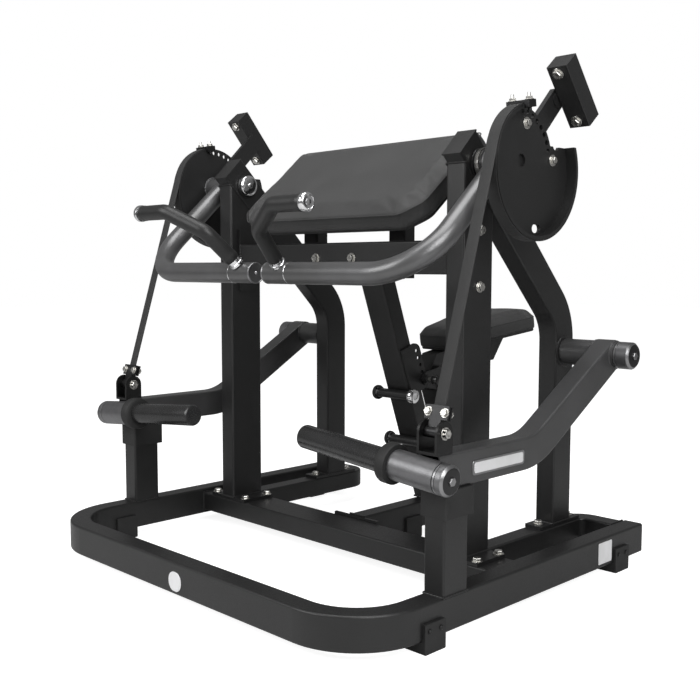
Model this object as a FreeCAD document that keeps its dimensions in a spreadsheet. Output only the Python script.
"""Plate-loaded seated biceps curl machine with two independent arms.

Machine frame: X to the machine's right, Y to the rear from the front bar, Z up from the floor.
Every sub-part is moved by front_offset and floor_level, so the origin lies on the floor under its middle.
"""
import FreeCAD, Part
import Sketcher
import math
import os
import re
from FreeCAD import Rotation, Vector

SIZES = {
    # whole machine
    "front_offset": 585, "floor_level": 7, "wall": 3, "gap": 0.3, "edge_round": 5, "fine_round": 2.5,
    # floor frame: one bent tube, a flat cross tube, two rear rails and a centre tube
    "leg_outer": 553, "leg_inner": 503, "leg_bottom": 30, "leg_top": 100, "leg_rear": 990,
    "front_bar": 50, "corner_outer": 167, "corner_inner": 117, "cross_front": 454, "cross_rear": 554,
    "cross_bottom": 40, "cross_top": 90, "rail_bottom": 50, "rail_turn": 935, "rail_rear": 985,
    "rail_round_out": 62, "rail_round_in": 14, "centre_half": 25, "centre_bottom": 30,
    "centre_top": 98, "centre_rear": 1010, "flange_half": 75, "flange_thick": 8, "flange_bottom": 35,
    "flange_top": 96,
    # uprights
    "post_in": 367.5, "post_out": 417.5, "post_front": 454, "post_rear": 554, "rail_foot_thick": 8,
    "plate_in": 322.5, "plate_out": 462.5, "plate_top": 98, "mitre_sum": 1395, "beam_sum": 1501,
    "beam_end": 517, "rear_front": 808, "rear_rear": 883, "bend_in": 92.5, "bend_out": 167.5,
    "rear_plate_front": 762, "rear_plate_rear": 929, "rail_bolt_front": 783, "rail_bolt_rear": 908,
    "cap_thick": 3, "cap_plug": 14,
    # arm pivot
    "pivot_back": 508, "pivot_up": 940.5, "shaft_radius": 15, "bore_radius": 15.05,
    "housing_radius": 31, "housing_end": 440.7, "hub_radius": 30, "hub_start": 441, "cam_inner": 512,
    "bearing_cap_radius": 27, "bearing_cap_start": 352, "housing_start": 364.5, "cap_step": 3,
    "cap_rim": 4, "cap_bolt_radius": 7.5, "cap_bolt_high": 4, "cap_seam": 6, "cap_taper": 8,
    # crossbar and strut
    "bar_front": 478, "bar_rear": 538, "bar_bottom": 707, "bar_top": 782, "ear_thick": 8,
    "ear_bottom": 660, "ear_top": 823, "mount_half": 100, "mount_bottom": 698, "mount_rear": 546,
    "strut_half": 37.5, "strut_deep": 50, "strut_lean": 20.1, "strut_foot": 849.5, "strut_head": 775,
    "stub_bottom": 715, "peg_radius": 12, "peg_half": 58, "peg_cap_radius": 19, "peg_cap_thick": 11,
    "peg_low": 191, "peg_high": 328, "rack_thick": 6, "rack_back": 48, "rack_low": 318,
    "rack_high": 446, "rack_hole_back": 34, "rack_first": 344, "rack_pitch": 20,
    "rack_hole_radius": 5.3, "rack_front": -20, "rack_round": 22,
    # seat
    "seat_post_foot": 979.5, "seat_post_length": 322, "stem_low": 150, "stem_clear": 3.3,
    "carrier_half": 25, "seat_front_y": 851, "seat_front_z": 540, "seat_tilt": 9.4, "seat_length": 318,
    "seat_front_half": 62, "seat_rear_half": 133, "seat_side": 41.8, "seat_bevel": 18.3,
    "seat_rise": 18.7, "seat_corner": 14, "pin_radius": 5, "pin_play": 0.05, "pin_back": 763.2,
    "pin_up": 432.7, "barrel_radius": 11, "knob_radius": 13, "stem_above": 30, "nose_y": 813,
    "nose_z": 450, "brow_y": 838, "brow_z": 491.5, "tail_y": 1140, "tail_top": 541.5, "tail_low": 523,
    "heel_y": 1092, "heel_z": 460, "throat_y": 893, "throat_z": 447, "chin_z": 412.9, "jaw_y": 843.5,
    "jaw_z": 394.7, "lip_y": 812, "lip_z": 420, "seat_plate_front": 25, "seat_plate_rear": 280,
    "seat_plate_narrow": 45, "seat_plate_wide": 95, "seat_plate_thick": 5, "bracket_clear": 1.5,
    "bracket_thick": 5.5, "bracket_low": 432, "bracket_high": 462, "bracket_start": 818,
    "bracket_nose": 16, "barrel_end": 62.5, "pin_travel": 9, "neck_end": 76, "knob_end": 97,
    # arm pad
    "pad_face_y": 532, "pad_face_z": 947, "pad_tilt": 39.5, "pad_face_half": 277,
    "pad_face_length": 254, "pad_bevel": 30, "pad_bevel_drop": 14, "pad_side": 47, "pad_corner": 46,
    "pad_post_x": 149, "pad_post_half": 25, "pad_post_rear": 578, "pad_post_top": 960, "pad_post_foot": 697,
    "pad_plate_half": 195, "pad_plate_front": 75, "pad_plate_rear": 65, "pad_plate_thick": 5,
    # feet and stops
    "foot_wrap": 7, "foot_long": 60, "foot_high": 65, "foot_front_y": 172, "foot_rear_y": 857,
    "foot_mid_y": 716, "stop_front": 232, "stop_rear": 305, "stop_top": 252, "bumper_front": 228,
    "bumper_rear": 315, "bumper_wide": 7.5, "bumper_low": 251, "bumper_top": 305.7,
    # fasteners and blank plates
    "washer_radius": 12, "washer_thick": 2, "bolt_radius": 9.5, "bolt_high": 7.5, "foot_bolt_side": 60,
    "front_bolt_row": 38, "ear_bolt_low": 681, "ear_bolt_high": 802, "mount_bolt_x": 62,
    "flange_bolt_x": 58, "flange_bolt_z": 65, "plate_thick": 1.5, "front_badge_x": 12,
    "front_badge_half": 22, "front_badge_low": 38, "front_badge_high": 80, "side_badge_front": 790,
    "side_badge_rear": 848, "side_badge_low": 40, "side_badge_high": 90, "lever_badge_front": 315,
    "lever_badge_rear": 487, "lever_badge_low": 322, "lever_badge_high": 351,
    # cam
    "small_radius": 110, "big_radius": 145, "big_shift_y": 30.8, "big_shift_z": -16.7, "disc_thick": 8,
    "rim_wide": 32, "rim_thick": 8, "cam_shelf": 37.5, "rim_front": -6, "cam_hole_ring": 99,
    "cam_hole_radius": 5.6, "cam_hole_first": 89, "cam_hole_step": 10.5, "cam_centre_radius": 13,
    "cam_centre_floor": 2, "notch_radius": 12, "notch_back": 126, "notch_up": 41.5, "slot_front": 50,
    "slot_rear": 62, "slot_up": -137, "slot_radius": 9, "belt_thick": 2.5, "belt_half": 14,
    "belt_x": 528, "clamp_half": 28, "clamp_deep": 24, "bolt_spread": 20.2, "clamp_tilt": 8.2,
    "clamp_thick": 5, "clamp_side": 10, "clamp_screw": 4, "clamp_head": 7, "clamp_head_high": 6,
    "clamp_screw_below": 16,
    # curl arm
    "pipe_radius": 24.15, "pipe_x": 466, "arm_reach": 343, "arm_drop": 42.34, "pipe_bend": 131,
    "sleeve_seam": 99, "sleeve_end": 26, "spigot_radius": 19, "sleeve_bore": 19.05,
    "sleeve_cap_end": 20, "grip_radius": 17.5, "grip_bend": 34, "grip_start": 12, "grip_stop": 8,
    "root_x": 72, "root_y": 238, "root_z": 731, "elbow_x": 93, "elbow_y": 167, "elbow_z": 801,
    "turn_x": 188, "turn_y": 126, "turn_z": 848, "tip_x": 291, "neck_radius": 14.5, "collar_back": 14,
    "collar_long": 26, "grip_cap_radius": 19, "grip_cap_long": 9, "grip_cap_taper": 4,
    "grip_cap_face": 14,
    # counterweight
    "weight_y": 154.7, "weight_z": 154.6, "weight_turn": -50, "weight_long": 148, "weight_thick": 46,
    "weight_wide": 50, "weight_x": 515, "weight_bar_wide": 45, "weight_bar_thick": 12,
    "weight_bar_long": 205, "weight_bar_lean": 45, "spacer_radius": 16, "spacer_y": 138,
    "spacer_z": 138, "weight_bolt_in": 18, "weight_bolt_row": 58, "cam_bolt_low_back": 112,
    "cam_bolt_low_up": 8, "cam_bolt_high_back": 16, "cam_bolt_high_up": 76,
    # weight lever
    "lever_pivot_y": 845.5, "lever_pivot_z": 523, "lever_x": 528, "lever_half": 25, "lever_low": 306,
    "lever_high": 374, "lever_bend_out": 199, "lever_bend_in": 131, "lever_end_round": 33,
    "lever_front": 203, "lever_axis_z": 340, "lever_rise": 30.65, "lever_solid": 45, "lever_start": 15,
    "hub_tube_radius": 31, "hub_tube_start": 421, "hub_tube_end": 561, "hub_cap_end": 604,
    "horn_tilt": 5, "horn_radius": 25, "horn_chamfer": 4, "horn_inner": 332, "collar_radius": 40,
    "collar_start": 96, "collar_end": 70, "horn_housing_radius": 30.5, "horn_housing_end": 41,
    "horn_cap_end": 66,
    # clevis and lower belt clamp
    "clevis_y": 232, "clevis_pin_z": 414, "ear_gap": 19.2, "clevis_thick": 5.6, "clevis_half": 23,
    "clevis_pin_radius": 6, "belt_lean": 16.8, "belt_reach": 576.7, "clamp_low": 24.3,
    "clamp_high": 51,
}

doc = FreeCAD.newDocument("CurlMachine")
sheet = doc.addObject("Spreadsheet::Sheet", "Dims")
for row, (alias, number) in enumerate(SIZES.items(), start=1):
    sheet.set(f"A{row}", alias)
    sheet.set(f"B{row}", str(number))
    sheet.setAlias(f"B{row}", alias)
doc.recompute()

SUBPARTS = []
BEAM_LEAN = -45
RACK_HOLES = 5
CAM_HOLES = 8
END_TOLERANCE = 0.2
NEARLY_PARALLEL = 0.99


# ---------------------------------------------------------------- expressions

def in_sheet(expression):
    """Write a short expression with the sheet's name in front of each cell's alias."""
    def full_name(word):
        return f"Dims.{word[0]}" if word[0] in SIZES else word[0]
    return re.sub(r"[a-z]+(_[a-z]+)*", full_name, str(expression))


def bind(piece, field, expression):
    piece.setExpression(field, in_sheet(expression))


def value(expression):
    return float(sheet.evalExpression(in_sheet(expression)))


def place(piece, spot=(0, 0, 0), tilt=None, axis=(1, 0, 0)):
    """Turn a piece about an axis and bind its place to the sheet."""
    if tilt is not None:
        piece.Placement = FreeCAD.Placement(Vector(0, 0, 0), Rotation(Vector(*axis), value(tilt)))
    for letter, expression in zip("xyz", spot):
        bind(piece, f"Placement.Base.{letter}", expression)
    return piece


# ---------------------------------------------------------------- primitives and booleans

def box(across, back, up):
    """A box from three pairs of limits."""
    piece = doc.addObject("Part::Box", "Block")
    for size, (low, high) in zip(("Length", "Width", "Height"), (across, back, up)):
        bind(piece, size, f"({high}) - ({low})")
    return place(piece, (across[0], back[0], up[0]))


def rod(radius, start, stop, back, up, axis="x"):
    """A round bar along X, Y or Z; start and stop are measured along that axis."""
    piece = doc.addObject("Part::Cylinder", "Round")
    bind(piece, "Radius", radius)
    bind(piece, "Height", f"({stop}) - ({start})")
    if axis == "x":
        return place(piece, (start, back, up), 90, (0, 1, 0))
    if axis == "y":
        return place(piece, (back, start, up), -90, (1, 0, 0))
    return place(piece, (back, up, start))


def hexagon(radius, start, stop, back, up, axis="x"):
    piece = doc.addObject("Part::Prism", "Hexagon")
    bind(piece, "Circumradius", radius)
    bind(piece, "Height", f"({stop}) - ({start})")
    if axis == "x":
        return place(piece, (start, back, up), 90, (0, 1, 0))
    if axis == "y":
        return place(piece, (back, start, up), -90, (1, 0, 0))
    return place(piece, (back, up, start))


def fuse(pieces):
    if len(pieces) == 1:
        return pieces[0]
    joined = doc.addObject("Part::MultiFuse", "Joined")
    joined.Shapes = pieces
    return joined


def cut(base, tools):
    tools = tools if isinstance(tools, list) else [tools]
    left = doc.addObject("Part::Cut", "Remainder")
    left.Base = base
    left.Tool = fuse(tools)
    return left


def common(first, second):
    both = doc.addObject("Part::Common", "Overlap")
    both.Base = first
    both.Tool = second
    return both


def group(pieces):
    """Keep pieces that belong to one node as separate solids."""
    doc.recompute()
    together = doc.addObject("Part::Compound", "Together")
    together.Links = pieces
    return together


def mirror(piece):
    twin = doc.addObject("Part::Mirroring", "Twin")
    twin.Source = piece
    twin.Base = Vector(0, 0, 0)
    twin.Normal = Vector(1, 0, 0)
    return twin


def node(label, piece, spot=(0, 0, 0), tilt=None):
    """Name a finished sub-part and move it from the machine frame to the frame on the floor."""
    if piece.TypeId == "Part::Box":
        piece = group([piece])
    place(piece, (spot[0], f"{spot[1]} - front_offset", f"{spot[2]} - floor_level"), tilt)
    piece.Label = label
    SUBPARTS.append(piece)
    return piece


def both_sides(name, piece, spot=(0, 0, 0), tilt=None):
    """Make the right piece a node and mirror it for the left."""
    right = node(f"right_{name}", piece, spot, tilt)
    left = mirror(right)
    left.Label = f"left_{name}"
    SUBPARTS.append(left)


def rounded_bar(across, back, up, along, rounding="edge_round"):
    """A bar between three pairs of limits, with its edges rounded along one axis."""
    limits = {"x": across, "y": back, "z": up}
    role, first, second = {
        "x": ("YZ_Plane", "y", "z"), "y": ("XZ_Plane", "x", "z"), "z": ("XY_Plane", "x", "y"),
    }[along]
    (left, right), (low, high) = limits[first], limits[second]
    corners = [(left, low), (right, low), (right, high), (left, high)]
    start, stop = limits[along]
    if along == "y":
        start, stop = f"0 - ({stop})", f"0 - ({start})"
    return slab(role, [(*corner, rounding) for corner in corners], start, stop)


def straight_tube(across, back, up, along):
    """A hollow tube with rounded edges, open along one axis."""
    limits = []
    for letter, (low, high) in zip("xyz", (across, back, up)):
        if letter == along:
            limits.append((f"{low} - 1", f"{high} + 1"))
        else:
            limits.append((f"{low} + wall", f"{high} - wall"))
    inside = rounded_bar(*limits, along, "(edge_round - wall)")
    return cut(rounded_bar(across, back, up, along), inside)


# ---------------------------------------------------------------- sketched bodies

def origin_plane(body, role):
    return [part for part in body.Origin.OriginFeatures if part.Role == role][0]


def tie_point(drawing, geometry, corner, pair):
    """Tie one point of the drawing to two expressions, or to an axis where the distance is nothing."""
    distances = (("DistanceX", corner.x, pair[0], -2), ("DistanceY", corner.y, pair[1], -1))
    for kind, amount, expression, line in distances:
        if abs(amount) < 1e-6:
            drawing.addConstraint(Sketcher.Constraint("PointOnObject", geometry, 1, line))
            continue
        tied = drawing.addConstraint(Sketcher.Constraint(kind, -1, 1, geometry, 1, amount))
        bind(drawing, f"Constraints[{tied}]", expression)


def corner_arc(before, corner, after, radius):
    """Where a rounded corner starts, its middle point, and where it ends."""
    way_in = (corner - before).normalize()
    way_out = (after - corner).normalize()
    half_turn = way_in.getAngle(way_out) / 2
    back = radius * math.tan(half_turn)
    inward = (way_out - way_in).normalize()
    middle = corner + inward * (radius / math.cos(half_turn) - radius)
    return corner - way_in * back, middle, corner + way_out * back


def sketch(body, role, points, offset=0):
    """A closed outline tied to the sheet; a corner with a third value is rounded to that radius."""
    drawing = body.newObject("Sketcher::SketchObject", "Outline")
    drawing.AttachmentSupport = [(origin_plane(body, role), "")]
    drawing.MapMode = "FlatFace"
    bind(drawing, "AttachmentOffset.Base.z", offset)
    corners = [Vector(value(point[0]), value(point[1]), 0) for point in points]
    count = len(corners)
    arcs = [None] * count
    for number, point in enumerate(points):
        if len(point) == 3:
            after = corners[(number + 1) % count]
            arcs[number] = corner_arc(corners[number - 1], corners[number], after, value(point[2]))
    for number in range(count):
        after = (number + 1) % count
        start = arcs[number][2] if arcs[number] else corners[number]
        end = arcs[after][0] if arcs[after] else corners[after]
        drawing.addGeometry(Part.LineSegment(start, end), False)
    for number in range(count):
        before = (number - 1) % count
        if arcs[number] is None:
            drawing.addConstraint(Sketcher.Constraint("Coincident", before, 2, number, 1))
            tie_point(drawing, number, corners[number], points[number])
            continue
        enter, middle, leave = arcs[number]
        arc = drawing.addGeometry(Part.Arc(enter, middle, leave), False)
        first = 1 if drawing.getPoint(arc, 1).distanceToPoint(enter) < 1e-6 else 2
        drawing.addConstraint(Sketcher.Constraint("Tangent", before, 2, arc, first))
        drawing.addConstraint(Sketcher.Constraint("Tangent", arc, 3 - first, number, 1))
        bound = drawing.addConstraint(Sketcher.Constraint("Radius", arc, value(points[number][2])))
        bind(drawing, f"Constraints[{bound}]", points[number][2])
        spot = drawing.addGeometry(Part.Point(corners[number]), True)
        tie_point(drawing, spot, corners[number], points[number])
        drawing.addConstraint(Sketcher.Constraint("PointOnObject", spot, 1, before))
        drawing.addConstraint(Sketcher.Constraint("PointOnObject", spot, 1, number))
    return drawing


def slab(role, points, start, stop):
    """Pad an outline on one origin plane between two limits along the plane's normal."""
    body = doc.addObject("PartDesign::Body", "Piece")
    pad = body.newObject("PartDesign::Pad", "Pad")
    pad.Profile = sketch(body, role, points, start)
    bind(pad, "Length", f"({stop}) - ({start})")
    doc.recompute()
    return body


def along_x(point):
    return point.x


def along_y(point):
    return point.y


def along_z(point):
    return point.z


def beam_fall(point):
    """How far a point lies up and forward along the sloping beams."""
    return point.z - point.y


def mitre_fall(point):
    return point.z + point.y


def lies_at(points, end):
    """Whether every point is at an end face, given as a measure and the face's place along it."""
    measure, spot = end
    return all(abs(value(spot) - measure(point)) < END_TOLERANCE for point in points)


def round_long_edges(body, *ends, rounding="edge_round"):
    """Round the edges along a padded bar, but not its end faces or the seams of its bends."""
    bar = body.Tip
    normal = bar.Profile[0].Placement.Rotation.multVec(Vector(0, 0, 1))
    names = []
    for number, edge in enumerate(bar.Shape.Edges, start=1):
        is_seam = abs(edge.tangentAt(edge.FirstParameter).dot(normal)) > NEARLY_PARALLEL
        corners = [corner.Point for corner in edge.Vertexes]
        on_end = any(lies_at(corners, end) for end in ends)
        if not is_seam and not on_end:
            names.append(f"Edge{number}")
    softened = body.newObject("PartDesign::Fillet", "LongEdges")
    softened.Base = (bar, names)
    bind(softened, "Radius", rounding)
    body.Tip = softened
    doc.recompute()
    assert softened.Shape.Volume < bar.Shape.Volume, "rounding takes metal away"
    return body


def hollow(body, *ends):
    """Turn a solid bar into a tube; each end pairs a measure with the end face's place along it."""
    bar = round_long_edges(body, *ends).Tip
    solid = bar.Shape
    names = []
    for number, face in enumerate(solid.Faces, start=1):
        is_flat = face.Surface.TypeId == "Part::GeomPlane"
        if is_flat and any(lies_at([face.CenterOfMass], end) for end in ends):
            names.append(f"Face{number}")
    shell = body.newObject("PartDesign::Thickness", "Shell")
    shell.Base = (bar, names)
    bind(shell, "Value", "wall")
    shell.Reversed = True
    body.Tip = shell
    doc.recompute()
    assert shell.Shape.Volume < solid.Volume, "a hollow tube has less metal than its bar"
    return body


def bolt(back, up, face, side, axis):
    """A hexagon head on a washer: face is the surface it sits on, side is +1 or -1 along the axis."""
    levels = (face, f"{face} + {side} * washer_thick", f"{face} + {side} * (washer_thick + bolt_high)")
    lowest, middle, highest = levels if side > 0 else reversed(levels)
    limits = [(lowest, middle), (middle, highest)]
    washer_limits, head_limits = limits if side > 0 else reversed(limits)
    washer = rod("washer_radius", *washer_limits, back, up, axis)
    head = hexagon("bolt_radius", *head_limits, back, up, axis)
    return fuse([washer, head])


# ---------------------------------------------------------------- floor frame

def base_frame():
    points = [
        ("-leg_outer", 0, "corner_outer"), ("leg_outer", 0, "corner_outer"), ("leg_outer", "leg_rear"),
        ("leg_inner", "leg_rear"), ("leg_inner", "front_bar", "corner_inner"),
        ("-leg_inner", "front_bar", "corner_inner"), ("-leg_inner", "leg_rear"), ("-leg_outer", "leg_rear"),
    ]
    return hollow(slab("XY_Plane", points, "leg_bottom", "leg_top"), (along_y, "leg_rear"))


def cross_tube():
    return straight_tube(("-leg_inner", "leg_inner"), ("cross_front", "cross_rear"),
                         ("cross_bottom", "cross_top"), "x")


def tube_caps():
    """Plastic plugs at the rear ends of the floor tubes and light caps on the sloping beams."""
    leg = rounded_bar(("leg_inner", "leg_outer"), ("leg_rear", "leg_rear + cap_thick"),
                      ("leg_bottom", "leg_top"), "y")
    plug = rounded_bar(("leg_inner + wall", "leg_outer - wall"), ("leg_rear - cap_plug", "leg_rear"),
                       ("leg_bottom + wall", "leg_top - wall"), "y", "fine_round")
    leg_plug = fuse([leg, plug])
    beam_y = "(mitre_sum - beam_end) / 2"
    off = "cap_thick / sqrt(2)"
    beam = box(("post_in", "post_out"), ("0 - cap_thick", 0), (0, "(beam_sum - mitre_sum) / sqrt(2)"))
    place(beam, ("post_in", f"{beam_y} - {off}", f"{beam_y} + beam_end + {off}"), BEAM_LEAN)
    centre = rounded_bar(("-centre_half", "centre_half"), ("centre_rear", "centre_rear + cap_thick"),
                         ("centre_bottom", "centre_top"), "y")
    return group([leg_plug, mirror(leg_plug), beam, mirror(beam), centre])


def rear_rail():
    """A tube from the cross tube back past the rear upright, bent outward to meet the leg."""
    points = [
        ("post_in", "cross_rear"), ("post_out", "cross_rear"), ("post_out", "rail_turn", "rail_round_in"),
        ("leg_inner", "rail_turn"), ("leg_inner", "rail_rear"), ("post_in", "rail_rear", "rail_round_out"),
    ]
    bar = slab("XY_Plane", points, "rail_bottom", "leg_top")
    return hollow(bar, (along_y, "cross_rear"), (along_x, "leg_inner"))


def centre_tube():
    tube = straight_tube(("-centre_half", "centre_half"), ("cross_rear + flange_thick", "centre_rear"),
                         ("centre_bottom", "centre_top"), "y")
    flange = box(("-flange_half", "flange_half"), ("cross_rear", "cross_rear + flange_thick"),
                 ("flange_bottom", "flange_top"))
    return fuse([tube, flange])


# ---------------------------------------------------------------- uprights

def housing_hole():
    """The round hole through an upright for the bearing housing, a little longer than the tube is wide."""
    start = "post_in - washer_thick"
    stop = "post_out + washer_thick"
    return rod("housing_radius", start, stop, "pivot_back", "pivot_up")


def front_upright():
    points = [
        ("post_front", "plate_top"), ("post_rear", "plate_top"),
        ("post_rear", "mitre_sum - post_rear"), ("post_front", "mitre_sum - post_front"),
    ]
    bar = slab("YZ_Plane", points, "post_in", "post_out")
    tube = hollow(bar, (along_z, "plate_top"), (mitre_fall, "mitre_sum"))
    foot = box(("plate_in", "plate_out"), ("post_front", "post_rear"), ("cross_top", "plate_top"))
    return cut(fuse([tube, foot]), housing_hole())


def rear_upright():
    low_y = "(mitre_sum - beam_end) / 2"
    high_y = "(beam_sum - beam_end) / 2"
    points = [
        ("rear_front", "leg_top"), ("rear_rear", "leg_top"),
        ("rear_rear", "beam_sum - rear_rear", "bend_out"),
        (high_y, f"{high_y} + beam_end"), (low_y, f"{low_y} + beam_end"),
        ("rear_front", "mitre_sum - rear_front", "bend_in"),
    ]
    bar = slab("YZ_Plane", points, "post_in", "post_out")
    tube = hollow(bar, (along_z, "leg_top"), (beam_fall, "beam_end"))
    foot = rounded_bar(("post_in", "post_out"), ("rear_plate_front", "rear_plate_rear"),
                       ("leg_top", "leg_top + rail_foot_thick"), "z")
    return cut(fuse([tube, foot]), housing_hole())


def bearing_housing():
    barrel = rod("housing_radius", "housing_start", "housing_end", "pivot_back", "pivot_up")
    return cut(barrel, rod("bore_radius", "housing_start - 1", "housing_end + 1", "pivot_back", "pivot_up"))


def bearing_cap():
    where = ("pivot_back", "pivot_up")
    cap = rod("bearing_cap_radius", "bearing_cap_start + cap_step", "housing_start", *where)
    face = rod("bearing_cap_radius - cap_rim", "bearing_cap_start", "bearing_cap_start + cap_step", *where)
    head = rod("cap_bolt_radius", "bearing_cap_start - cap_bolt_high", "bearing_cap_start", *where)
    return fuse([cap, face, head])


# ---------------------------------------------------------------- crossbar, strut and pegs

def crossbar():
    tube = straight_tube(("-post_in + ear_thick", "post_in - ear_thick"), ("bar_front", "bar_rear"),
                         ("bar_bottom", "bar_top"), "x")
    ear = box(("post_in - ear_thick", "post_in"), ("bar_front", "bar_rear"), ("ear_bottom", "ear_top"))
    plate = box(("-mount_half", "mount_half"), ("bar_rear", "mount_rear"), ("mount_bottom", "bar_top"))
    return fuse([tube, ear, mirror(ear), plate])


def leaning_tube(foot_y, length):
    """A hollow tube leaning forward from the centre tube, cut level at its foot."""
    tube = straight_tube(("-strut_half", "strut_half"), ("-strut_deep / 2", "strut_deep / 2"),
                         ("-strut_deep", length), "z")
    place(tube, (0, foot_y, "centre_top"), "strut_lean")
    below = box(("-strut_half - 1", "strut_half + 1"), (0, "2 * leg_rear"), (0, "centre_top"))
    return cut(tube, below)


def strut():
    tube = leaning_tube("strut_foot", "strut_head")
    above = box(("-strut_half - 1", "strut_half + 1"), (0, "leg_rear"), ("strut_head", "2 * strut_head"))
    tube = cut(tube, above)
    face_foot = "strut_foot - strut_deep / 2 / cos(strut_lean)"
    points = [
        ("mount_rear", "stub_bottom"),
        (f"{face_foot} - (stub_bottom - centre_top) * tan(strut_lean)", "stub_bottom"),
        (f"{face_foot} - (strut_head - centre_top) * tan(strut_lean)", "strut_head"),
        ("mount_rear", "strut_head"),
    ]
    stub = slab("YZ_Plane", points, "-strut_half", "strut_half")
    return fuse([tube, stub])


def strut_pegs():
    pegs = []
    for level in ("peg_low", "peg_high"):
        where = ("-strut_deep / 2 - peg_radius", level)
        bar = rod("peg_radius", "-peg_half", "peg_half", *where)
        right = rod("peg_cap_radius", "peg_half", "peg_half + peg_cap_thick", *where)
        left = rod("peg_cap_radius", "-peg_half - peg_cap_thick", "-peg_half", *where)
        pegs.append(fuse([bar, right, left]))
    return group(pegs)


def rack_plate():
    """The notched locking plate beside the strut, with one hole for each seat height."""
    points = [
        ("rack_front", "rack_low"), ("rack_back", "rack_low"),
        ("rack_back", "rack_high", "rack_round"), ("rack_front", "rack_high"),
    ]
    plate = slab("YZ_Plane", points, "strut_half", "strut_half + rack_thick")
    holes = []
    through = ("strut_half - 1", "strut_half + rack_thick + 1")
    for step in range(RACK_HOLES):
        level = f"rack_first + {step} * rack_pitch"
        holes.append(rod("rack_hole_radius", *through, "rack_hole_back", level))
    return cut(plate, holes)


# ---------------------------------------------------------------- seat

def padded_slab(outline, face, low, edge, high):
    """A cushion: straight side wall, then a bevel up to a smaller flat face."""
    body = slab("XY_Plane", outline, low, edge)
    loft = body.newObject("PartDesign::AdditiveLoft", "Bevel")
    loft.Profile = sketch(body, "XY_Plane", outline, edge)
    loft.Sections = [sketch(body, "XY_Plane", face, high)]
    loft.Ruled = True
    body.Tip = loft
    doc.recompute()
    return body


def seat():
    def outline(front_half, rear_half, front_y, rear_y, corner):
        right = [
            (f"{front_half} - {corner}", front_y), (front_half, f"{front_y} + {corner}"),
            (rear_half, f"{rear_y} - {corner} * 2"), (f"{rear_half} - {corner} * 2", rear_y),
        ]
        return right + [(f"-({first})", second) for first, second in reversed(right)]
    lower = outline("seat_front_half", "seat_rear_half", "0.001", "seat_length", "seat_corner")
    upper = outline("(seat_front_half - seat_bevel + 2)", "(seat_rear_half - seat_bevel)", "seat_bevel",
                    "(seat_length - seat_bevel)", "seat_corner")
    return padded_slab(lower, upper, "-seat_side", 0, "seat_rise")


def seat_post():
    return leaning_tube("seat_post_foot", "seat_post_length")


def seat_carrier():
    """The stem inside the post, the beam and plate under the seat, and the locking pin's bracket."""
    stem = rounded_bar(("-strut_half + stem_clear", "strut_half - stem_clear"),
                       ("-strut_deep / 2 + stem_clear", "strut_deep / 2 - stem_clear"),
                       ("stem_low", "seat_post_length + stem_above"), "z", "fine_round")
    place(stem, (0, "seat_post_foot", "centre_top"), "strut_lean")
    beam_points = [
        ("nose_y", "nose_z"), ("brow_y", "brow_z"), ("tail_y", "tail_top"), ("tail_y", "tail_low"),
        ("heel_y", "heel_z"), ("throat_y", "throat_z"), ("throat_y", "chin_z"), ("jaw_y", "jaw_z"),
        ("lip_y", "lip_z"),
    ]
    beam = slab("YZ_Plane", beam_points, "-carrier_half", "carrier_half")
    plate_points = [
        ("-seat_plate_narrow", "seat_plate_front"), ("seat_plate_narrow", "seat_plate_front"),
        ("seat_plate_wide", "seat_plate_rear"), ("-seat_plate_wide", "seat_plate_rear"),
    ]
    plate = slab("XY_Plane", plate_points, "-seat_side - seat_plate_thick", "-seat_side")
    place(plate, (0, "seat_front_y", "seat_front_z"), "seat_tilt")
    bracket_points = [
        ("pin_back - bracket_nose", "pin_up"), ("pin_back", "pin_up - bracket_nose"),
        ("brow_y", "bracket_low"), ("brow_y", "bracket_high"), ("pin_back", "pin_up + bracket_nose"),
    ]
    bracket_in = "strut_half + rack_thick + bracket_clear"
    bracket_out = f"{bracket_in} + bracket_thick"
    bracket = slab("YZ_Plane", bracket_points, bracket_in, bracket_out)
    bridge = box(("carrier_half", bracket_out), ("bracket_start", "brow_y"), ("bracket_low", "bracket_high"))
    barrel = rod("barrel_radius", bracket_in, "barrel_end", "pin_back", "pin_up")
    joined = fuse([stem, beam, plate, bracket, bridge, barrel])
    return cut(joined, rod("pin_radius + pin_play", "strut_half", "knob_end", "pin_back", "pin_up"))


def pop_pin():
    """The locking pin, pulled out of its holes, with room to travel before its neck meets the barrel."""
    where = ("pin_back", "pin_up")
    neck_start = "barrel_end + pin_travel + gap"
    pin = rod("pin_radius", "strut_half + rack_thick + gap", f"{neck_start} + 1", *where)
    neck = rod("pin_radius + 3", neck_start, "neck_end", *where)
    knob = rod("knob_radius", "neck_end", "knob_end", *where)
    return fuse([pin, neck, knob])


# ---------------------------------------------------------------- arm pad

def arm_pad():
    def outline(half, length, corner):
        return [
            (f"-{half} + {corner}", f"-{length} / 2"), (f"{half} - {corner}", f"-{length} / 2"),
            (half, f"-{length} / 2 + {corner}"), (half, f"{length} / 2"), (f"-{half}", f"{length} / 2"),
            (f"-{half}", f"-{length} / 2 + {corner}"),
        ]
    lower = outline("(pad_face_half + pad_bevel)", "(pad_face_length + 2 * pad_bevel)", "pad_corner")
    upper = outline("pad_face_half", "pad_face_length", "(pad_corner - 6)")
    return padded_slab(lower, upper, "-pad_side - pad_bevel_drop", "-pad_bevel_drop", 0)


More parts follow.
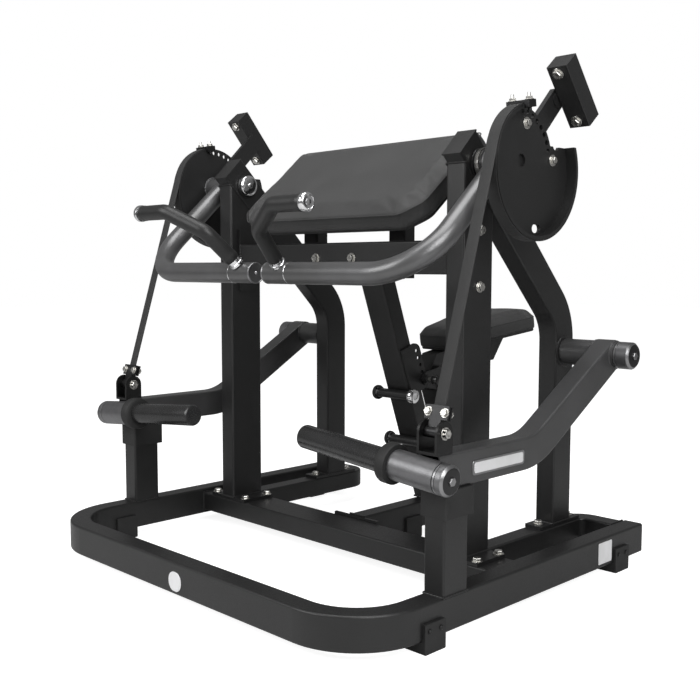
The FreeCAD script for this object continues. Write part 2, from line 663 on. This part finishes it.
def arm_pad_mount():
    post = rounded_bar(("pad_post_x - pad_post_half", "pad_post_x + pad_post_half"),
                       ("bar_rear", "pad_post_rear"), ("pad_post_foot", "pad_post_top"), "z")
    below = "(pad_side + pad_bevel_drop + pad_plate_thick)"
    far = "pad_face_half"

    def on_underside(forward):
        back = f"pad_face_y - {forward} * cos(pad_tilt) + {below} * sin(pad_tilt)"
        return back, f"pad_face_z - {forward} * sin(pad_tilt) - {below} * cos(pad_tilt)"

    above = box((f"-{far}", far), (f"-{far}", far), (0, far))
    place(above, (f"-{far}", *on_underside(far)), "pad_tilt")
    posts = cut(fuse([post, mirror(post)]), above)
    plate = box(("-pad_plate_half", "pad_plate_half"), ("-pad_plate_front", "pad_plate_rear"),
                (0, "pad_plate_thick"))
    place(plate, ("-pad_plate_half", *on_underside("pad_plate_front")), "pad_tilt")
    return fuse([posts, plate])


# ---------------------------------------------------------------- feet, stops and bolts

def boot(left, right, front, tube_bottom):
    outer = rounded_bar((f"{left} - foot_wrap", f"{right} + foot_wrap"), (front, f"{front} + foot_long"),
                        ("floor_level", "foot_high"), "x", "fine_round")
    channel = box((left, right), (f"{front} - 1", f"{front} + foot_long + 1"), (tube_bottom, "foot_high + 1"))
    return cut(outer, channel)


def rubber_feet():
    front = boot("leg_inner", "leg_outer", "foot_front_y", "leg_bottom")
    rear = boot("leg_inner", "leg_outer", "foot_rear_y", "leg_bottom")
    middle = boot("-centre_half", "centre_half", "foot_mid_y", "centre_bottom")
    return group([front, mirror(front), rear, mirror(rear), middle])


def stop_posts():
    post = straight_tube(("leg_inner", "leg_outer"), ("stop_front", "stop_rear"),
                         ("leg_top", "stop_top"), "z")
    return group([post, mirror(post)])


def stop_bumpers():
    outer = rounded_bar(("leg_inner - bumper_wide", "leg_outer + bumper_wide"),
                        ("bumper_front", "bumper_rear"), ("bumper_low", "bumper_top"), "z")
    socket = box(("leg_inner", "leg_outer"), ("stop_front", "stop_rear"), ("bumper_low - 1", "stop_top"))
    bumper = cut(outer, socket)
    return group([bumper, mirror(bumper)])


def frame_bolts():
    bolts = []
    middle = "(post_in + post_out) / 2"
    for side in (-1, 1):
        for end in (-1, 1):
            across = f"{middle} + {side} * foot_bolt_side"
            back = f"(post_front + post_rear) / 2 + {end} * front_bolt_row"
            bolts.append(bolt(across, back, "plate_top", 1, "z"))
    for back in ("rail_bolt_front", "rail_bolt_rear"):
        bolts.append(bolt(middle, back, "leg_top + rail_foot_thick", 1, "z"))
    for level in ("ear_bolt_low", "ear_bolt_high"):
        bolts.append(bolt("pivot_back", level, "post_out", 1, "x"))
    bolts.append(bolt("mount_bolt_x", "(bar_bottom + bar_top) / 2", "bar_front", -1, "y"))
    bolts.append(bolt("flange_bolt_x", "flange_bolt_z", "cross_rear + flange_thick", 1, "y"))
    return group(bolts + [mirror(piece) for piece in bolts])


def badges():
    front = box(("front_badge_x - front_badge_half", "front_badge_x + front_badge_half"),
                ("0 - plate_thick", 0), ("front_badge_low", "front_badge_high"))
    side = box(("leg_outer", "leg_outer + plate_thick"), ("side_badge_front", "side_badge_rear"),
               ("side_badge_low", "side_badge_high"))
    return group([front, side])


# ---------------------------------------------------------------- cam, belts and clamps

def cam_outline(extra, start, stop):
    """The cam's side view: a small circle about the pivot and a larger one set forward and below."""
    small = rod(f"small_radius + {extra}", start, stop, 0, 0)
    big = rod(f"big_radius + {extra}", start, stop, "big_shift_y", "big_shift_z")
    low = box((f"{start} - 1", f"{stop} + 1"), ("-2 * big_radius", "2 * big_radius"),
              ("-2 * big_radius", "cam_shelf"))
    return fuse([small, common(big, low)])


def cam():
    start = "cam_inner"
    rim_end = "cam_inner + rim_wide"
    disc = cam_outline("0", start, "cam_inner + disc_thick")
    inside = cam_outline("0 - rim_thick", f"{start} - 1", f"{rim_end} + 1")
    ring = cut(cam_outline("0", start, rim_end), inside)
    open_corner = box((f"{start} + disc_thick", f"{rim_end} + 2"), ("rim_front", "2 * big_radius"),
                      ("cam_shelf", "2 * big_radius"))
    solid = fuse([disc, cut(ring, open_corner)])
    through = ("cam_inner - 1", "cam_inner + disc_thick + 1")
    holes = [rod("cam_centre_radius", "cam_inner + cam_centre_floor", through[1], 0, 0)]
    for step in range(CAM_HOLES):
        angle = f"(cam_hole_first - {step} * cam_hole_step)"
        spot = (f"cam_hole_ring * cos({angle})", f"cam_hole_ring * sin({angle})")
        holes.append(rod("cam_hole_radius", *through, *spot))
    holes.append(rod("notch_radius", *through, "notch_back", "notch_up"))
    for back in ("slot_front", "slot_rear"):
        holes.append(rod("slot_radius", *through, back, "slot_up"))
    slot_levels = ("slot_up - slot_radius", "slot_up + slot_radius")
    holes.append(box(through, ("slot_front", "slot_rear"), slot_levels))
    return cut(solid, holes)


def cam_belt():
    """The belt lying on the rim, from the upper clamp round to where the rim ends."""
    start = "belt_x - belt_half"
    stop = "belt_x + belt_half"
    band = cut(cam_outline("belt_thick", start, stop), cam_outline("0", f"{start} - 1", f"{stop} + 1"))
    corner = box((f"{start} - 2", f"{stop} + 2"), ("rim_front", "2 * big_radius"),
                 ("cam_shelf - 1", "2 * big_radius"))
    return cut(band, corner)


def cam_clamp():
    """A plate over the belt with a cheek on each side of the rim, and two upright screws."""
    top = "small_radius + belt_thick"
    cover = f"{top} + clamp_thick"
    deep = ("-clamp_deep / 2", "clamp_deep / 2")
    inner_edge = "belt_x - clamp_half"
    outer_edge = "belt_x + clamp_half"
    pieces = [box((inner_edge, outer_edge), deep, (top, cover))]
    for across in ((inner_edge, "cam_inner"), ("cam_inner + rim_wide", outer_edge)):
        pieces.append(box(across, deep, (f"{top} - clamp_side", top)))
    for side in (-1, 1):
        spot = f"belt_x + {side} * bolt_spread"
        pieces.append(rod("clamp_screw", f"{top} - clamp_screw_below", cover, spot, 0, "z"))
        pieces.append(hexagon("clamp_head", cover, f"{cover} + clamp_head_high", spot, 0, "z"))
    return fuse(pieces)


def belt_clamp():
    """Two plates that grip the belt's end, with a tongue down to the clevis pin."""
    half = "belt_thick / 2"
    front = f"-{half} - clamp_thick"
    rear = f"{half} + clamp_thick"
    wide = ("belt_x - clamp_half", "belt_x + clamp_half")
    pieces = [
        box(wide, (front, f"-{half}"), ("clamp_low", "clamp_high")),
        box(wide, (half, rear), ("clamp_low", "clamp_high")),
        box(("belt_x - clamp_half / 2", "belt_x + clamp_half / 2"), (front, rear), (0, "clamp_low + 2")),
        rod("barrel_radius", "belt_x - ear_gap + 1", "belt_x + ear_gap - 1", 0, 0),
    ]
    for side in (-1, 1):
        spot = (f"belt_x + {side} * bolt_spread", "(clamp_low + clamp_high) / 2", "y")
        pieces.append(rod("clamp_screw", front, rear, *spot))
        pieces.append(hexagon("clamp_head", f"{front} - clamp_head_high", front, *spot))
        pieces.append(hexagon("clamp_head", rear, f"{rear} + clamp_head_high", *spot))
    bore = rod("clevis_pin_radius + pin_play", "belt_x - clamp_half", "belt_x + clamp_half", 0, 0)
    return cut(fuse(pieces), bore)


def belt():
    """The straight run of belt, which ends where it meets the belt lying on the cam."""
    strap = box(("belt_x - belt_half", "belt_x + belt_half"), ("-belt_thick / 2", "belt_thick / 2"),
                ("clamp_high + gap", "belt_reach"))
    start_y = "clevis_y - (belt_thick / 2) * cos(belt_lean) + (clamp_high + gap) * sin(belt_lean)"
    start_z = "clevis_pin_z + (belt_thick / 2) * sin(belt_lean) + (clamp_high + gap) * cos(belt_lean)"
    place(strap, ("belt_x - belt_half", start_y, start_z), "-belt_lean")
    rim = cam_outline("(belt_thick + gap)", "belt_x - belt_half - 1", "belt_x + belt_half + 1")
    place(rim, (0, "pivot_back", "pivot_up"))
    return cut(strap, rim)


# ---------------------------------------------------------------- curl arm and handle

def curl_arm():
    """Shaft, hub and bent pipe, drawn with Y along the arm's upper run."""
    shaft = rod("shaft_radius", "housing_start + 1.5", "hub_start", 0, 0)
    hub = rod("hub_radius", "hub_start", "cam_inner", 0, 0)
    upper = rod("pipe_radius", 0, "arm_reach - pipe_bend", "pipe_x", 0, "y")
    elbow = doc.addObject("Part::Torus", "Elbow")
    bind(elbow, "Radius1", "pipe_bend")
    bind(elbow, "Radius2", "pipe_radius")
    elbow.Angle3 = 90
    place(elbow, ("pipe_x - pipe_bend", "arm_reach - pipe_bend", 0))
    lower = rod("pipe_radius", "sleeve_seam", "pipe_x - pipe_bend", "arm_reach", 0)
    spigot = rod("spigot_radius", "sleeve_end + 4", "sleeve_seam", "arm_reach", 0)
    return fuse([shaft, hub, upper, elbow, lower, spigot])


def handle_sleeve():
    sleeve = rod("pipe_radius", "sleeve_end", "sleeve_seam - gap", 0, 0)
    return cut(sleeve, rod("sleeve_bore", "sleeve_end - 1", "sleeve_seam + 1", 0, 0))


def handle_points():
    """The corners of the handle's centre line, from its root on the sleeve to its tip."""
    names = (("root_x", "root_y", "root_z"), ("elbow_x", "elbow_y", "elbow_z"),
             ("turn_x", "turn_y", "turn_z"), ("tip_x", "turn_y", "turn_z"))
    return [Vector(*(value(name) for name in corner)) for corner in names]


def handle_grip():
    """A round bar along a three-dimensional centre line of straight runs and two bends."""
    first, second, third, last = handle_points()
    here = first + (second - first).normalize() * value("grip_start")
    last = last + (third - last).normalize() * value("grip_stop")
    pieces = []
    for corner, after in ((second, third), (third, last)):
        enter, middle, leave = corner_arc(here, corner, after, value("grip_bend"))
        pieces.append(Part.makeLine(here, enter))
        pieces.append(Part.Arc(enter, middle, leave).toShape())
        here = leave
    pieces.append(Part.makeLine(here, last))
    run = Part.Wire(pieces)
    start = run.Edges[0]
    way = start.tangentAt(start.FirstParameter)
    circle = Part.makeCircle(value("grip_radius"), start.valueAt(start.FirstParameter), way)
    piece = doc.addObject("Part::Feature", "Grip")
    piece.Shape = run.makePipeShell([Part.Wire(circle)], True, True)
    return piece


def handle_trim():
    """Chrome root collar, chrome end cap and the disc that closes the sleeve."""
    first, second, _, last = handle_points()
    sideways = Vector(1, 0, 0)
    way = (second - first).normalize()
    axis_y = "pivot_back - arm_reach * cos(arm_drop)"
    axis_z = "pivot_up - arm_reach * sin(arm_drop)"
    foot = first - way * value("collar_back")
    collar = Part.makeCylinder(value("neck_radius"), value("collar_long"), foot, way)
    axis_point = Vector(0, value(axis_y), value(axis_z))
    bore = Part.makeCylinder(value("pipe_radius"), value("tip_x"), axis_point, sideways)
    root = doc.addObject("Part::Feature", "Root")
    root.Shape = collar.cut(bore)
    edge = last - sideways * value("grip_stop")
    radius = value("grip_cap_radius")
    drum = Part.makeCylinder(radius, value("grip_cap_long"), edge, sideways)
    taper_start = edge + sideways * value("grip_cap_long")
    taper = Part.makeCone(radius, value("grip_cap_face"), value("grip_cap_taper"), taper_start, sideways)
    cap = doc.addObject("Part::Feature", "GripCap")
    cap.Shape = drum.fuse(taper)
    step = "(sleeve_end - sleeve_cap_end) / 3"
    disc = rod("pipe_radius", f"sleeve_cap_end + {step}", "sleeve_end", axis_y, axis_z)
    face = rod("pipe_radius - cap_rim", "sleeve_cap_end", f"sleeve_cap_end + {step}", axis_y, axis_z)
    return group([root, cap, fuse([disc, face])])


def counterweight():
    """A steel block on the end of a flat bar that leans up and back from the arm's hub."""
    block = rounded_bar(("weight_x", "weight_x + weight_wide"), ("-weight_long / 2", "weight_long / 2"),
                        ("-weight_thick / 2", "weight_thick / 2"), "y", "fine_round")
    place(block, (0, "weight_y", "weight_z"), "weight_turn")
    half = "weight_bar_wide / 2"
    bar_inner = "cam_inner - weight_bar_thick"
    bar = box((bar_inner, "cam_inner"), (0, "weight_bar_long"), (f"-{half}", half))
    corner = (bar_inner, f"{half} * sin(weight_bar_lean)", f"-{half} * cos(weight_bar_lean)")
    place(bar, corner, "weight_bar_lean")
    spacer = rod("spacer_radius", "cam_inner", "weight_x", "spacer_y", "spacer_z")
    clear = rod("hub_radius", f"{bar_inner} - 1", "cam_inner", 0, 0)
    return cut(fuse([block, bar, spacer]), clear)


def arm_bolts():
    """Two bolts on the counterweight's lower face, and two through the cam where the bar is held."""
    across = "cam_inner + disc_thick + weight_bolt_in"
    pieces = [bolt(across, f"{end} * weight_bolt_row", "-weight_thick / 2", -1, "z") for end in (-1, 1)]
    for piece in pieces:
        place(piece, (0, "weight_y", "weight_z"), "weight_turn")
    for spot in (("cam_bolt_low_back", "cam_bolt_low_up"), ("cam_bolt_high_back", "cam_bolt_high_up")):
        pieces.append(bolt(*spot, "cam_inner + disc_thick", 1, "x"))
    return group(pieces)


# ---------------------------------------------------------------- weight lever

def lever_bar(inset, front, past, rounded):
    """The bent bar of the weight lever, inset from its outside, from the horn to a little past the pivot."""
    half = f"((lever_high - lever_low) / 2 - {inset})"
    bend_y = "lever_pivot_y - (lever_pivot_z - lever_axis_z) / tan(lever_rise)"
    low = f"lever_low + {inset}"
    high = f"lever_high - {inset}"
    end_y = f"lever_pivot_y + ({past}) * cos(lever_rise)"
    end_z = f"lever_pivot_z + ({past}) * sin(lever_rise)"
    end = [
        (f"{end_y} + {half} * sin(lever_rise)", f"{end_z} - {half} * cos(lever_rise)"),
        (f"{end_y} - {half} * sin(lever_rise)", f"{end_z} + {half} * cos(lever_rise)"),
    ]
    if rounded:
        end = [(*corner, "lever_end_round") for corner in end]
    points = [
        (front, low), (f"{bend_y} + {half} * tan(lever_rise / 2)", low, f"lever_bend_out - {inset}"), *end,
        (f"{bend_y} - {half} * tan(lever_rise / 2)", high, f"lever_bend_in + {inset}"), (front, high),
    ]
    bar = slab("YZ_Plane", points, f"lever_x - lever_half + {inset}", f"lever_x + lever_half - {inset}")
    return round_long_edges(bar, (along_y, front)) if rounded else bar


def weight_lever():
    """Bent lever tube with its hub, ending against the horn's housing."""
    bar = lever_bar("0", "lever_front + lever_start", "(lever_high - lever_low) / 2", True)
    cavity = lever_bar("wall", "lever_front", "0 - lever_solid", False)
    where = ("lever_pivot_y", "lever_pivot_z")
    hub = rod("hub_tube_radius", "hub_tube_start", "hub_tube_end", *where)
    bore = rod("bore_radius", "hub_tube_start - 1", "hub_tube_end + 1", *where)
    bored = cut(fuse([cut(bar, cavity), hub]), bore)
    return cut(bored, horn_rod("horn_housing_radius", "-collar_end - 20", "horn_cap_end"))


def on_horn(piece, start):
    """Put a round piece on the horn's axis, which tips up toward the machine's middle."""
    across = f"lever_x + ({start}) * cos(horn_tilt)"
    up = f"lever_axis_z - ({start}) * sin(horn_tilt)"
    return place(piece, (across, "lever_front", up), "90 + horn_tilt", (0, 1, 0))


def horn_rod(radius, start, stop):
    piece = doc.addObject("Part::Cylinder", "HornRound")
    bind(piece, "Radius", radius)
    bind(piece, "Height", f"({stop}) - ({start})")
    return on_horn(piece, start)


def cone(first_radius, last_radius, start, stop):
    piece = doc.addObject("Part::Cone", "Taper")
    bind(piece, "Radius1", first_radius)
    bind(piece, "Radius2", last_radius)
    bind(piece, "Height", f"({stop}) - ({start})")
    return piece


def weight_horn():
    tip_start = "-horn_inner"
    tip_stop = "-horn_inner + horn_chamfer"
    horn = horn_rod("horn_radius", tip_stop, "horn_housing_end")
    tip = on_horn(cone("horn_radius - horn_chamfer", "horn_radius", tip_start, tip_stop), tip_start)
    collar = horn_rod("collar_radius", "-collar_start", "-collar_end")
    return fuse([horn, tip, collar])


def horn_housing():
    outer = horn_rod("horn_housing_radius", "-collar_end", "horn_housing_end")
    return cut(outer, horn_rod("horn_radius", "-collar_end - 1", "horn_housing_end + 1"))


def lever_trim():
    """End caps of the horn and the hub, each with a bolt, and the blank plate on the lever's side."""
    seam = "horn_housing_end + cap_seam"
    taper = "horn_cap_end - cap_taper"
    horn_cap = fuse([
        horn_rod("horn_housing_radius - cap_step", "horn_housing_end", seam),
        horn_rod("horn_housing_radius", seam, taper),
        on_horn(cone("horn_housing_radius", "horn_housing_radius - cap_taper", taper, "horn_cap_end"), taper),
        horn_rod("cap_bolt_radius", "horn_cap_end", "horn_cap_end + cap_bolt_high"),
    ])
    where = ("lever_pivot_y", "lever_pivot_z")
    hub_seam = "hub_tube_end + cap_seam"
    hub_face = "hub_cap_end - cap_bolt_high"
    hub_taper = f"{hub_face} - cap_taper"
    hub_cone = cone("hub_tube_radius", "hub_tube_radius - cap_taper", hub_taper, hub_face)
    hub_cap = fuse([
        rod("hub_tube_radius - cap_step", "hub_tube_end", hub_seam, *where),
        rod("hub_tube_radius", hub_seam, hub_taper, *where),
        place(hub_cone, (hub_taper, *where), 90, (0, 1, 0)),
        rod("cap_bolt_radius", hub_face, "hub_cap_end", *where),
    ])
    lever_outer = "lever_x + lever_half"
    plate = box((lever_outer, f"{lever_outer} + plate_thick"), ("lever_badge_front", "lever_badge_rear"),
                ("lever_badge_low", "lever_badge_high"))
    return group([horn_cap, hub_cap, plate])


def clevis():
    """A bent plate with two round-topped ears, and the pin with a head at each end."""
    inner_face = "lever_x - ear_gap - clevis_thick"
    outer_face = "lever_x + ear_gap + clevis_thick"
    deep = ("clevis_y - clevis_half", "clevis_y + clevis_half")
    where = ("clevis_y", "clevis_pin_z")
    pieces = [box((inner_face, outer_face), deep, ("lever_high", "lever_high + clevis_thick"))]
    for low in (inner_face, "lever_x + ear_gap"):
        high = f"{low} + clevis_thick"
        pieces.append(box((low, high), deep, ("lever_high", "clevis_pin_z")))
        pieces.append(rod("clevis_half", low, high, *where))
    pieces.append(rod("clevis_pin_radius", inner_face, outer_face, *where))
    pieces.append(hexagon("bolt_radius", f"{inner_face} - bolt_high", inner_face, *where))
    pieces.append(hexagon("bolt_radius", outer_face, f"{outer_face} + bolt_high", *where))
    return fuse(pieces)


def lever_axle():
    flange = rod("hub_tube_radius + 5", "post_out", "hub_tube_start - gap", "lever_pivot_y", "lever_pivot_z")
    axle = rod("shaft_radius", "post_out", "hub_tube_end - 1", "lever_pivot_y", "lever_pivot_z")
    return fuse([flange, axle])


# ---------------------------------------------------------------- assembly

def build():
    pivot = (0, "pivot_back", "pivot_up")
    node("base_frame", base_frame())
    node("tube_caps", tube_caps())
    node("cross_tube", cross_tube())
    both_sides("rear_rail", rear_rail())
    node("centre_tube", centre_tube())
    both_sides("front_upright", front_upright())
    both_sides("rear_upright", rear_upright())
    housing = bearing_housing()
    node("bearing_housings", group([housing, mirror(housing)]))
    cap = bearing_cap()
    node("bearing_caps", group([cap, mirror(cap)]))
    node("crossbar", crossbar())
    node("strut", strut())
    strut_spot = (0, "strut_foot", "centre_top")
    node("strut_pegs", strut_pegs(), strut_spot, "strut_lean")
    node("rack_plate", rack_plate(), strut_spot, "strut_lean")
    node("seat_post", seat_post())
    node("seat_carrier", seat_carrier())
    node("seat", seat(), (0, "seat_front_y", "seat_front_z"), "seat_tilt")
    node("pop_pin", pop_pin())
    node("arm_pad", arm_pad(), (0, "pad_face_y", "pad_face_z"), "pad_tilt")
    node("arm_pad_mount", arm_pad_mount())
    node("rubber_feet", rubber_feet())
    node("stop_posts", stop_posts())
    node("stop_bumpers", stop_bumpers())
    node("frame_bolts", frame_bolts())
    node("badges", badges())
    axle = lever_axle()
    node("lever_axles", group([axle, mirror(axle)]))
    both_sides("cam", cam(), pivot)
    both_sides("cam_belt", cam_belt(), pivot)
    both_sides("cam_clamp", cam_clamp(), pivot, "clamp_tilt")
    both_sides("counterweight", counterweight(), pivot)
    both_sides("arm_bolts", arm_bolts(), pivot)
    both_sides("curl_arm", curl_arm(), pivot, "180 + arm_drop")
    handle_axis = (0, "pivot_back - arm_reach * cos(arm_drop)", "pivot_up - arm_reach * sin(arm_drop)")
    both_sides("handle_sleeve", handle_sleeve(), handle_axis)
    both_sides("handle_grip", handle_grip())
    both_sides("handle_trim", handle_trim())
    both_sides("weight_lever", weight_lever())
    both_sides("weight_horn", weight_horn())
    both_sides("horn_housing", horn_housing())
    both_sides("lever_trim", lever_trim())
    both_sides("clevis", clevis())
    clevis_pin = (0, "clevis_y", "clevis_pin_z")
    both_sides("belt_clamp", belt_clamp(), clevis_pin, "-belt_lean")
    both_sides("belt", belt())


def write():
    """Check every object, then write one file for each sub-part."""
    doc.recompute()
    for item in doc.Objects:
        assert not {"Invalid", "Error"} & set(item.State), (item.Label, item.State)
    os.makedirs("parts", exist_ok=True)
    for item in SUBPARTS:
        shape = item.Shape
        assert not shape.isNull() and shape.isValid(), item.Label
        shape.exportStep(f"parts/{item.Label}.step")


build()
write()
